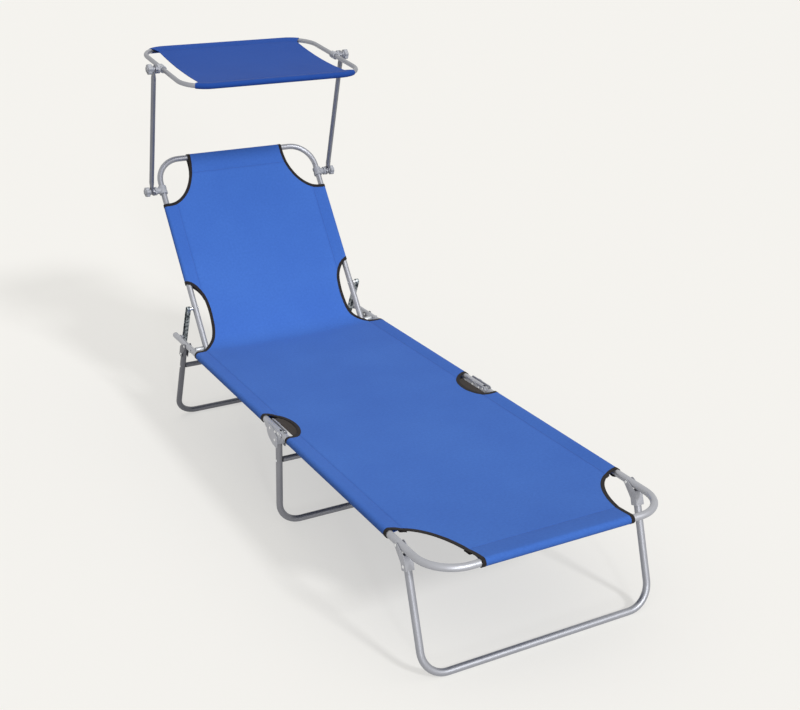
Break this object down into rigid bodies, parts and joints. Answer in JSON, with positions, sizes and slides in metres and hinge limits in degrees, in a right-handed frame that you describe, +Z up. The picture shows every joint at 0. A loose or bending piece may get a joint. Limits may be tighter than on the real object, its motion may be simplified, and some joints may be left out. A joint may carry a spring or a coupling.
{
  "type": "folding sun lounger",
  "caption": "Folding tube-framed sun lounger with a taut cloth sling, reclining back, folding legs and a tilting cloth sun canopy on poles.",
  "frame": {"origin": "middle of the bounding box at the floor the lounger stands on", "axes": "+X to the right of someone standing at the foot end and facing the head end, +Y towards the head end, +Z up"},
  "size_m": [0.5856, 1.7016, 1.0254],
  "materials": {
    "silver_paint": "satin",
    "grey_paint": "satin",
    "zinc_steel": "satin",
    "dark_steel": "satin",
    "black_plastic": "matte",
    "grey_plastic": "satin",
    "blue_cloth": "woven",
    "guard_cloth": "woven"
  },
  "bodies": {
    "seat": {"seat_tube_left": "silver_paint", "seat_tube_right": "silver_paint", "seat_tube_plug_left": "black_plastic", "seat_tube_plug_right": "black_plastic", "hinge_plate_outer_left": "silver_paint", "hinge_plate_outer_right": "silver_paint", "hinge_plate_inner_left": "silver_paint", "hinge_plate_inner_right": "silver_paint", "hinge_plate_rivet_left": "zinc_steel", "hinge_plate_rivet_right": "zinc_steel", "foot_fold_pin_left": "zinc_steel", "foot_fold_pin_right": "zinc_steel", "hinge_guard_left": "guard_cloth", "hinge_guard_right": "guard_cloth", "back_pivot_bolt_left": "zinc_steel", "back_pivot_bolt_right": "zinc_steel", "pivot_spacer_left": "zinc_steel", "pivot_spacer_right": "zinc_steel", "strut_keeper_left": "grey_plastic", "strut_keeper_right": "grey_plastic", "sling_seat": "blue_cloth"},
    "foot_section": {"foot_frame": "silver_paint", "sling_foot": "blue_cloth", "foot_hinge_tongue_left": "zinc_steel", "foot_hinge_tongue_right": "zinc_steel"},
    "foot_leg": {"foot_leg": "grey_paint", "foot_leg_yoke_left": "silver_paint", "foot_leg_yoke_right": "silver_paint", "foot_leg_pivot_left": "zinc_steel", "foot_leg_pivot_right": "zinc_steel"},
    "mid_leg": {"mid_leg": "grey_paint", "mid_leg_crossbar": "grey_paint", "mid_leg_yoke_left": "silver_paint", "mid_leg_yoke_right": "silver_paint", "mid_leg_pivot_left": "zinc_steel", "mid_leg_pivot_right": "zinc_steel"},
    "rear_leg": {"rear_leg": "grey_paint", "rear_leg_crossbar": "grey_paint", "rear_leg_yoke_left": "silver_paint", "rear_leg_yoke_right": "silver_paint", "rear_leg_pivot_left": "zinc_steel", "rear_leg_pivot_right": "zinc_steel"},
    "back": {"back_frame": "silver_paint", "sling_back": "blue_cloth", "canopy_clamp_lower_left": "grey_plastic", "canopy_clamp_lower_right": "grey_plastic", "strut_pivot_left": "zinc_steel", "strut_pivot_right": "zinc_steel"},
    "strut_left": {"recline_strut_left": "dark_steel"},
    "strut_right": {"recline_strut_right": "dark_steel"},
    "canopy_arms": {"canopy_pole_left": "silver_paint", "canopy_pole_right": "silver_paint"},
    "canopy": {"canopy_frame": "silver_paint", "canopy_fabric": "blue_cloth", "canopy_clamp_upper_left": "grey_plastic", "canopy_clamp_upper_right": "grey_plastic"},
    "knob_lower_left": {"canopy_knob_lower_left": "grey_plastic"},
    "knob_lower_right": {"canopy_knob_lower_right": "grey_plastic"},
    "knob_upper_left": {"canopy_knob_upper_left": "grey_plastic"},
    "knob_upper_right": {"canopy_knob_upper_right": "grey_plastic"}
  },
  "joints": [
    {"name": "foot_section_fold", "type": "hinge", "parent": "seat", "child": "foot_section", "pos_m": [0, -0.12966, 0.2665], "axis": [-1, 0, 0], "range_deg": [0, 148]},
    {"name": "foot_leg_fold", "type": "hinge", "parent": "foot_section", "child": "foot_leg", "pos_m": [0, -0.70616, 0.263], "axis": [1, 0, 0], "range_deg": [0, 107]},
    {"name": "mid_leg_fold", "type": "hinge", "parent": "seat", "child": "mid_leg", "pos_m": [0, -0.08416, 0.263], "axis": [1, 0, 0], "range_deg": [0, 85]},
    {"name": "rear_leg_fold", "type": "hinge", "parent": "seat", "child": "rear_leg", "pos_m": [0, 0.52884, 0.263], "axis": [-1, 0, 0], "range_deg": [0, 115]},
    {"name": "back_recline", "type": "hinge", "parent": "seat", "child": "back", "pos_m": [0, 0.48784, 0.263], "axis": [1, 0, 0], "range_deg": [-53.7, 16]},
    {"name": "strut_left_swing", "type": "hinge", "parent": "back", "child": "strut_left", "pos_m": [-0.2595, 0.5577, 0.3581], "axis": [1, 0, 0], "range_deg": [-8.1, 27]},
    {"name": "strut_right_swing", "type": "hinge", "parent": "back", "child": "strut_right", "pos_m": [0.2595, 0.5577, 0.3581], "axis": [1, 0, 0], "range_deg": [-8.1, 27]},
    {"name": "canopy_arm_swing", "type": "hinge", "parent": "back", "child": "canopy_arms", "pos_m": [0, 0.76786, 0.6442], "axis": [1, 0, 0], "range_deg": [-50, 35]},
    {"name": "canopy_tilt", "type": "hinge", "parent": "canopy_arms", "child": "canopy", "pos_m": [0, 0.65485, 0.99306], "axis": [1, 0, 0], "range_deg": [-40, 60]},
    {"name": "knob_lower_left_turn", "type": "hinge", "parent": "canopy_arms", "child": "knob_lower_left", "pos_m": [-0.283, 0.76786, 0.6442], "axis": [1, 0, 0], "continuous": true},
    {"name": "knob_lower_right_turn", "type": "hinge", "parent": "canopy_arms", "child": "knob_lower_right", "pos_m": [0.283, 0.76786, 0.6442], "axis": [1, 0, 0], "continuous": true},
    {"name": "knob_upper_left_turn", "type": "hinge", "parent": "canopy_arms", "child": "knob_upper_left", "pos_m": [-0.283, 0.65485, 0.99306], "axis": [1, 0, 0], "continuous": true},
    {"name": "knob_upper_right_turn", "type": "hinge", "parent": "canopy_arms", "child": "knob_upper_right", "pos_m": [0.283, 0.65485, 0.99306], "axis": [1, 0, 0], "continuous": true}
  ],
  "couplings": [
    {"joint": "strut_left_swing", "follows": "back_recline", "ratio": -0.5},
    {"joint": "strut_right_swing", "follows": "back_recline", "ratio": -0.5}
  ]
}
